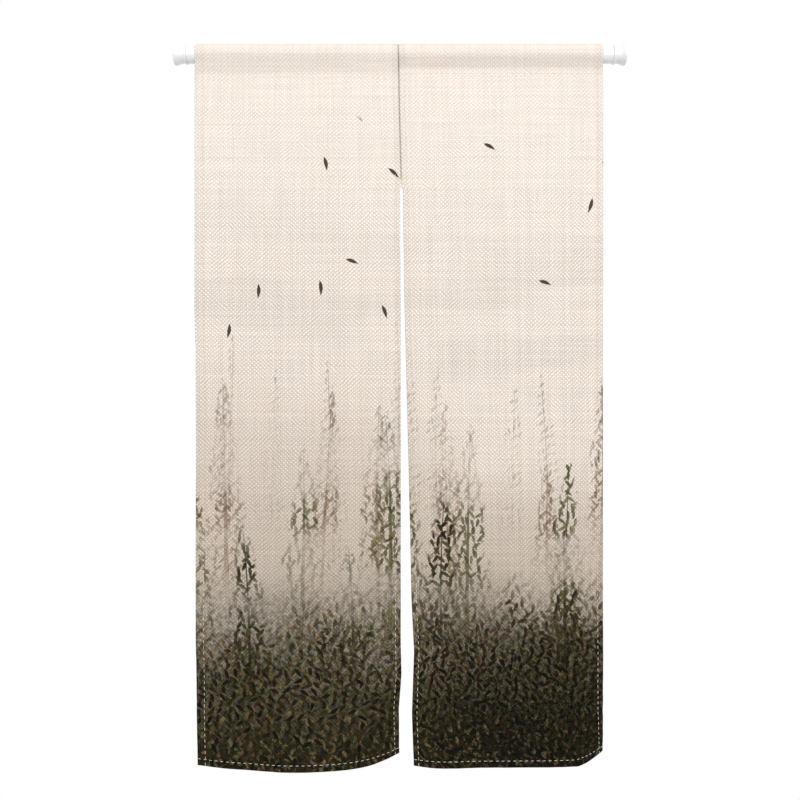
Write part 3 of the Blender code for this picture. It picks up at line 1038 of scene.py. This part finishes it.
def cloth_material(settings, name, is_back):
    """Printed linen-look weave. The back shows the print faintly, and fully on its turned hems."""
    material, g, shader = new_material(name)
    uv = g.node("ShaderNodeUVMap", uv_map="cloth").outputs["UV"]
    x, y, _ = g.three("ShaderNodeSeparateXYZ", uv)
    colour = print_colour(g, uv, x, y)
    in_hem = g.stored("in_hem")
    if is_back:
        faded = g.blend(BACK_FADE, colour, tuple(settings.yarn))
        colour = g.blend(in_hem.step(0.5, 0.9), faded, colour)
    tint = g.flat_noise(uv, 17.0, detail=1.0) - 0.5
    warm = g.colour(1.0 + tint * WARM_TINT, 1.0, 1.0 - tint * COOL_TINT)
    colour = g.blend(1.0, colour, warm, "MULTIPLY")
    checks, over, yarns, slubs, fibre = weave(g, uv, x, y, settings)
    contrast = y.step(*WEAVE_CONTRAST)
    # Painted shade in the hollows between the yarns
    gap_shade = (1.0 - over).step(*GAPS) * contrast * GAP_SHADE_SHARE
    colour = g.blend(gap_shade, colour, paint(GAP_SHADE_COLOUR))
    # The checks are partly the yarns' own tone and partly painted shading of how they lie to the light
    woven = (checks * CHECK_TONE + yarns * YARN_TONE) * contrast
    tone = BASE_TONE + woven + slubs * SLUB_TONE + fibre * FIBRE_TONE
    # Painted shade: darker over the turned hems and in the fold of the seam between the panels
    tone = tone * (1.0 - in_hem * HEM_PAINTED_SHADE) * (1.0 - g.stored("in_seam") * SEAM_PAINTED_SHADE)
    g.put(g.toned(colour, tone), shader["Base Color"])
    g.put(g.bump(over, 0.6, settings.yarn_relief), shader["Normal"])
    g.put(0.90 - over * 0.06, shader["Roughness"])
    shader["Specular IOR Level"].default_value = 0.06
    return material


def hang_cloth(cloth, settings, materials):
    """One panel as a thickened sheet, its turned hems thicker than the rest."""
    grid, flat, places, _ = dressed_grid(cloth, settings)
    mesh = grid_mesh(cloth.name, grid)
    add_uv(mesh, (cloth.starts + places)[None, :] * np.ones(flat.shape), CLOTH_LENGTH - flat)
    in_hem = hem_share(cloth, flat, places)
    in_hem[: len(TAIL_PLACES)] = 1.0
    add_value(mesh, "in_hem", in_hem)
    # Mask of the shade painted into the cloth's colour in the fold of the seam
    add_value(mesh, "in_seam", painted_seam_shade(cloth, flat, places))
    panel = link(cloth.name, mesh, materials)
    thick = panel.vertex_groups.new(name="thick")
    for index, share in enumerate(in_hem.ravel().tolist()):
        thick.add([index], share, "REPLACE")
    shell = panel.modifiers.new("Thickness", "SOLIDIFY")
    shell.thickness = HEM_THICKNESS
    shell.offset = -1.0
    shell.use_even_offset = True
    shell.use_quality_normals = True
    shell.vertex_group = thick.name
    shell.thickness_vertex_group = CLOTH_THICKNESS / HEM_THICKNESS
    shell.material_offset = 1
    shell.material_offset_rim = 0
    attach(panel, BODY)
    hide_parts(cloth.node)
    return panel, float(flat[-1].mean() - flat[0, 0])


# Sewing


def thread_material(settings):
    """Matt spun thread with the slant of its twist."""
    material, g, shader = new_material("sewing_thread")
    place = g.object_place()
    x, y, z = g.three("ShaderNodeSeparateXYZ", place)
    twist = ((x + z + y * 0.5) * 5200.0).sin()
    fluff = g.noise(place, 900.0, roughness=0.6) - 0.5
    # The twist's stripes in the colour are painted shade of its grooves; the fluff is uneven tone
    colour = g.toned(tuple(settings.colour), 0.97 + twist * 0.04 + fluff * 0.12)
    g.put(colour, shader["Base Color"])
    g.put(0.78 + fluff * 0.1, shader["Roughness"])
    g.put(g.bump(twist * 0.5 + fluff, 0.4, 0.0002), shader["Normal"])
    return material


def stitch_tree():
    """Geometry nodes: one small stitch at every step along each line of sewing."""
    tree = bpy.data.node_groups.new("running_stitches", "GeometryNodeTree")
    for label, kind in (
        ("Lines", "Geometry"),
        ("Pitch", "Float"),
        ("Length", "Float"),
        ("Width", "Float"),
        ("Height", "Float"),
        ("Unevenness", "Float"),
        ("Seed", "Int"),
        ("Thread", "Material"),
    ):
        tree.interface.new_socket(label, in_out="INPUT", socket_type="NodeSocket" + kind)
    tree.interface.new_socket("Stitches", in_out="OUTPUT", socket_type="NodeSocketGeometry")
    g = Graph(tree)

    def made(kind, output, inputs=None, **options):
        """One named output of a new node."""
        return g.node(kind, inputs, **options).outputs[output]

    given = g.node("NodeGroupInput").outputs
    curve = made("GeometryNodeMeshToCurve", "Curve", {"Mesh": given["Lines"]})
    steps = {"Curve": curve, "Length": given["Pitch"]}
    steps = made("GeometryNodeResampleCurve", "Curve", steps, mode="LENGTH")
    ball = made("GeometryNodeMeshUVSphere", "Mesh", {"Segments": 8, "Rings": 5, "Radius": 0.5})
    size = {"X": given["Length"], "Y": given["Width"], "Z": given["Height"]}
    size = made("ShaderNodeCombineXYZ", "Vector", size)
    stitch = made("GeometryNodeTransform", "Geometry", {"Geometry": ball, "Scale": size})
    along = {"Vector": made("GeometryNodeInputTangent", "Tangent")}
    along = made("FunctionNodeAlignRotationToVector", "Rotation", along, axis="X")
    facing = {"Name": "facing"}
    facing = made("GeometryNodeInputNamedAttribute", "Attribute", facing, data_type="FLOAT_VECTOR")
    upright = made(
        "FunctionNodeAlignRotationToVector",
        "Rotation",
        {"Rotation": along, "Vector": facing},
        axis="Z",
        pivot_axis="X",
    )
    uneven = Sum(g, given["Unevenness"])
    vary = {"Min": 1.0 - uneven, "Max": 1.0 + uneven, "Seed": given["Seed"]}
    vary = made("FunctionNodeRandomValue", "Value", vary, data_type="FLOAT_VECTOR")
    row = {"Points": steps, "Instance": stitch, "Rotation": upright, "Scale": vary}
    row = made("GeometryNodeInstanceOnPoints", "Instances", row)
    real = made("GeometryNodeRealizeInstances", "Geometry", {"Geometry": row})
    smooth = made("GeometryNodeSetShadeSmooth", "Geometry", {"Geometry": real})
    coat = {"Geometry": smooth, "Material": given["Thread"]}
    coat = made("GeometryNodeSetMaterial", "Geometry", coat)
    g.node("NodeGroupOutput", {"Stitches": coat})
    return tree


def line_down(grid, normals, places, place):
    """Points and normals along the panel's length at one place across it."""
    at = np.interp(place, places, np.arange(len(places)))
    low = min(int(at), len(places) - 2)
    share = at - low
    points = grid[:, low] * (1.0 - share) + grid[:, low + 1] * share
    facing = normals[:, low] * (1.0 - share) + normals[:, low + 1] * share
    return points, facing


def line_across(grid, normals, flat, wanted):
    """Points and normals across the panel, at a flat length that may differ by column."""
    points, facing = [], []
    for column in range(grid.shape[1]):
        lengths = flat[:, column]
        points.append([np.interp(wanted[column], lengths, grid[:, column, i]) for i in range(3)])
        facing.append([np.interp(wanted[column], lengths, normals[:, column, i]) for i in range(3)])
    return np.array(points), np.array(facing)


def sewing_lines(cloth, settings):
    """Lines of sewing on one panel, on its printed face and on its back."""
    grid, flat, places, pocket_length = dressed_grid(cloth, settings)
    normals = grid_normals(grid)
    left, right = side_sewing(cloth)
    lengths = flat.mean(axis=1)
    rows = (lengths > lengths[0] + STITCH_END) & (lengths < lengths[-1] - STITCH_END)
    columns = (places > STITCH_END) & (places < PANEL_WIDTH - STITCH_END)
    lines = []
    for place in (left, PANEL_WIDTH - right):
        points, facing = line_down(grid, normals, places, place)
        lines.append((points[rows], facing[rows]))
    for seam in (flat[-1] - FOOT_SEWING, np.full(len(places), pocket_length + POCKET_SEWING)):
        points, facing = line_across(grid, normals, flat, seam)
        lines.append((points[columns], facing[columns]))
    back = [(points - facing * HEM_THICKNESS, -facing) for points, facing in lines[:3]]
    return lines + back


def sew(cloth, cloth_settings, settings, thread, tree, seed):
    """All stitches of one panel as one plain mesh."""
    points, edges, facings = [], [], []
    for line, facing in sewing_lines(cloth, cloth_settings):
        first = len(points)
        points += line.tolist()
        facings += facing.tolist()
        edges += [(first + i, first + i + 1) for i in range(len(line) - 1)]
    mesh = bpy.data.meshes.new(cloth.name + "_lines")
    mesh.from_pydata(points, edges, [])
    attribute = mesh.attributes.new("facing", "FLOAT_VECTOR", "POINT")
    attribute.data.foreach_set("vector", np.array(facings, dtype=np.float32).ravel())
    lines = link(mesh.name, mesh)
    nodes = lines.modifiers.new("Stitches", "NODES")
    nodes.node_group = tree
    values = {"Seed": seed, "Thread": thread}
    for name in ("pitch", "length", "width", "height", "unevenness"):
        values[name.capitalize()] = getattr(settings, name)
    for item in tree.interface.items_tree:
        if item.in_out == "INPUT" and item.name in values:
            nodes[item.identifier] = values[item.name]
    depsgraph = bpy.context.evaluated_depsgraph_get()
    plain = bpy.data.meshes.new_from_object(lines.evaluated_get(depsgraph), depsgraph=depsgraph)
    bpy.data.objects.remove(lines)
    plain.name = cloth.name + "_stitches"
    stitches = link(plain.name, plain)
    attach(stitches, BODY)
    return stitches


# Rod


def white_finish(name, colour, roughness, grain, relief, coat):
    """White paint or plastic: fine grain in its gloss and relief, a faint cloud in its colour.

    Grain is the grain's scale, its roughness and its share of the gloss. The cloud's scale
    follows. Relief is the bump's strength and depth, coat the clear coat's weight and roughness.
    """
    material, g, shader = new_material(name)
    place = g.object_place()
    scale, grain_roughness, gloss_share, cloud_scale = grain
    coat_weight, coat_roughness = coat
    fine = g.noise(place, scale, roughness=grain_roughness)
    cloud = g.noise(place, cloud_scale) - 0.5
    g.put(g.toned(tuple(colour), 1.0 + cloud * 0.02), shader["Base Color"])
    g.put(roughness + (fine - 0.5) * gloss_share, shader["Roughness"])
    g.put(g.bump(fine, *relief), shader["Normal"])
    shader["Coat Weight"].default_value = coat_weight
    shader["Coat Roughness"].default_value = coat_roughness
    return material


def paint_material(settings):
    """Satin white paint with a faint orange-peel skin."""
    peel = (420.0, 0.5, 0.10, 16.0)
    return white_finish(
        "white_rod_paint",
        settings.tube,
        settings.tube_roughness,
        peel,
        relief=(0.12, 0.0002),
        coat=(0.8, 0.12),
    )


def plastic_material(settings):
    """Satin white moulded plastic with a fine spark-eroded grain."""
    grain = (1500.0, 0.6, 0.12, 60.0)
    return white_finish(
        "white_cap_plastic",
        settings.cap,
        settings.cap_roughness,
        grain,
        relief=(0.10, 0.0001),
        coat=(0.6, 0.20),
    )


# Stage

# The photo's frame: metres a pixel in the rod's plane, the width of the image, the image row of
# the pocket's ridge, and where the frame's middle lies along the rod
PIXEL = 0.850 / 409
IMAGE_WIDTH = 800
RIDGE_ROW = 44
FRAME_MIDDLE = 0.468
SENSOR = 36.0

# Key light: the angle that it spans, and its turn from straight down to nearly straight ahead
KEY_SPAN = math.radians(50)
KEY_TURN = (math.radians(85), 0.0, math.radians(8))

# The room's passage from below to above and to the wall behind, by the direction's parts
ROOM_LEVEL = (-0.5, 0.5)
ROOM_BACK = (0.0, 0.35)

FLOOR_POINTS = 96


def add_camera(settings):
    """Camera straight in front of the curtain, at the photo's distance and framing."""
    data = bpy.data.cameras.new("front_camera")
    data.sensor_width = SENSOR
    data.lens = SENSOR * settings.camera_distance / (IMAGE_WIDTH * PIXEL)
    camera = link("front_camera", data)
    height = crest_height() - (IMAGE_WIDTH / 2 - RIDGE_ROW) * PIXEL
    camera.location = (FRAME_MIDDLE, -settings.camera_distance, height)
    camera.rotation_euler = (math.pi / 2, 0.0, 0.0)
    bpy.context.scene.camera = camera


def add_floor(settings):
    """Round pale floor well below the cloth."""
    turns = [math.tau * i / FLOOR_POINTS for i in range(FLOOR_POINTS)]
    radius = settings.floor_radius
    ring = [
        (FRAME_MIDDLE + radius * math.cos(turn), radius * math.sin(turn), -settings.floor_drop)
        for turn in turns
    ]
    mesh = bpy.data.meshes.new("floor")
    mesh.from_pydata(ring, [], [list(range(FLOOR_POINTS))])
    material, g, shader = new_material("pale_floor")
    tone = 1.0 + (g.noise(g.object_place(), 3.0) - 0.5) * 0.01
    g.put(g.toned(tuple(settings.floor), tone), shader["Base Color"])
    shader["Roughness"].default_value = 0.8
    link("floor", mesh, [material])


def add_light(settings):
    """White room, brightest behind the curtain, and one broad soft light from the front.

    The camera and reflections see the room as plain white.
    """
    world = bpy.data.worlds.new("white_room")
    world.use_nodes = True
    g = Graph(world.node_tree)
    room = world.node_tree.nodes["Background"].inputs
    room["Color"].default_value = (1.0, 1.0, 1.0, 1.0)
    direction = g.node("ShaderNodeTexCoord").outputs["Generated"]
    _, back, up = g.three("ShaderNodeSeparateXYZ", direction)
    level = up.step(*ROOM_LEVEL, settings.room_below, settings.room_above)
    level = level + back.step(*ROOM_BACK) * (settings.room_behind - level)
    rays = g.node("ShaderNodeLightPath").outputs
    seen = Sum(g, rays["Is Camera Ray"]).most(Sum(g, rays["Is Glossy Ray"]))
    g.put(level + seen * (1.0 - level), room["Strength"])
    bpy.context.scene.world = world
    data = bpy.data.lights.new("key_light", "SUN")
    data.energy = settings.key_strength
    data.angle = KEY_SPAN
    link("key_light", data).rotation_euler = KEY_TURN


# Operators and panel


class CURTAIN_OT_finish_rod(bpy.types.Operator):
    """Paint the tube and give the end caps their plastic"""

    bl_idname = "curtain.finish_rod"
    bl_label = "Finish rod"

    def execute(self, context):
        settings = context.scene.curtain_rod
        tube_paint = paint_material(settings)
        cap_plastic = plastic_material(settings)
        for name, material in (
            ("rod_tube", tube_paint),
            ("cap_left", cap_plastic),
            ("cap_right", cap_plastic),
        ):
            for material_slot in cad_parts[name].material_slots:
                material_slot.material = material
        return {"FINISHED"}


class CURTAIN_OT_hang_panels(bpy.types.Operator):
    """Hang the two woven and printed panels on the rod, with all their sewing"""

    bl_idname = "curtain.hang_panels"
    bl_label = "Hang and sew panels"

    def execute(self, context):
        settings = context.scene.curtain_cloth
        sewing = context.scene.curtain_thread
        leaf_group()
        grove_group()
        materials = [
            cloth_material(settings, "linen_front", False),
            cloth_material(settings, "linen_back", True),
        ]
        thread = thread_material(sewing)
        tree = stitch_tree()
        for seed, cloth in enumerate(CLOTHS):
            panel, flat_length = hang_cloth(cloth, settings, materials)
            stitches = sew(cloth, settings, sewing, thread, tree, seed)
        return {"FINISHED"}


class CURTAIN_OT_set_stage(bpy.types.Operator):
    """Set up the floor, the light and the camera"""

    bl_idname = "curtain.set_stage"
    bl_label = "Set stage"

    def execute(self, context):
        settings = context.scene.curtain_stage
        context.scene.view_settings.view_transform = "Standard"
        add_floor(settings)
        add_light(settings)
        add_camera(settings)
        return {"FINISHED"}


class CURTAIN_PT_sidebar(bpy.types.Panel):
    """Lists the steps and settings of the door curtain"""

    bl_idname = "CURTAIN_PT_sidebar"
    bl_label = "Door curtain"
    bl_space_type = "VIEW_3D"
    bl_region_type = "UI"
    bl_category = "Curtain"

    def draw(self, context):
        for operator, settings in (
            ("curtain.finish_rod", context.scene.curtain_rod),
            ("curtain.hang_panels", context.scene.curtain_cloth),
            (None, context.scene.curtain_thread),
            ("curtain.set_stage", context.scene.curtain_stage),
        ):
            box = self.layout.box()
            if operator:
                box.operator(operator)
            for name in settings.bl_rna.properties.keys():
                if name not in ("rna_type", "name"):
                    box.prop(settings, name)


SETTINGS = {
    "curtain_cloth": ClothSettings,
    "curtain_thread": ThreadSettings,
    "curtain_rod": RodSettings,
    "curtain_stage": StageSettings,
}
TOOLS = (CURTAIN_OT_finish_rod, CURTAIN_OT_hang_panels, CURTAIN_OT_set_stage, CURTAIN_PT_sidebar)


def register():
    """Registers the settings, the operators and the panel."""
    for name, settings in SETTINGS.items():
        bpy.utils.register_class(settings)
        setattr(bpy.types.Scene, name, bpy.props.PointerProperty(type=settings))
    for tool in TOOLS:
        bpy.utils.register_class(tool)


def unregister():
    """Removes the panel, the operators and the settings."""
    for tool in reversed(TOOLS):
        bpy.utils.unregister_class(tool)
    for name, settings in reversed(SETTINGS.items()):
        delattr(bpy.types.Scene, name)
        bpy.utils.unregister_class(settings)


def main():
    """Dresses the whole curtain and sets its stage."""
    register()
    bpy.ops.curtain.set_stage()
    bpy.ops.curtain.finish_rod()
    bpy.ops.curtain.hang_panels()


if __name__ == "__main__":
    main()
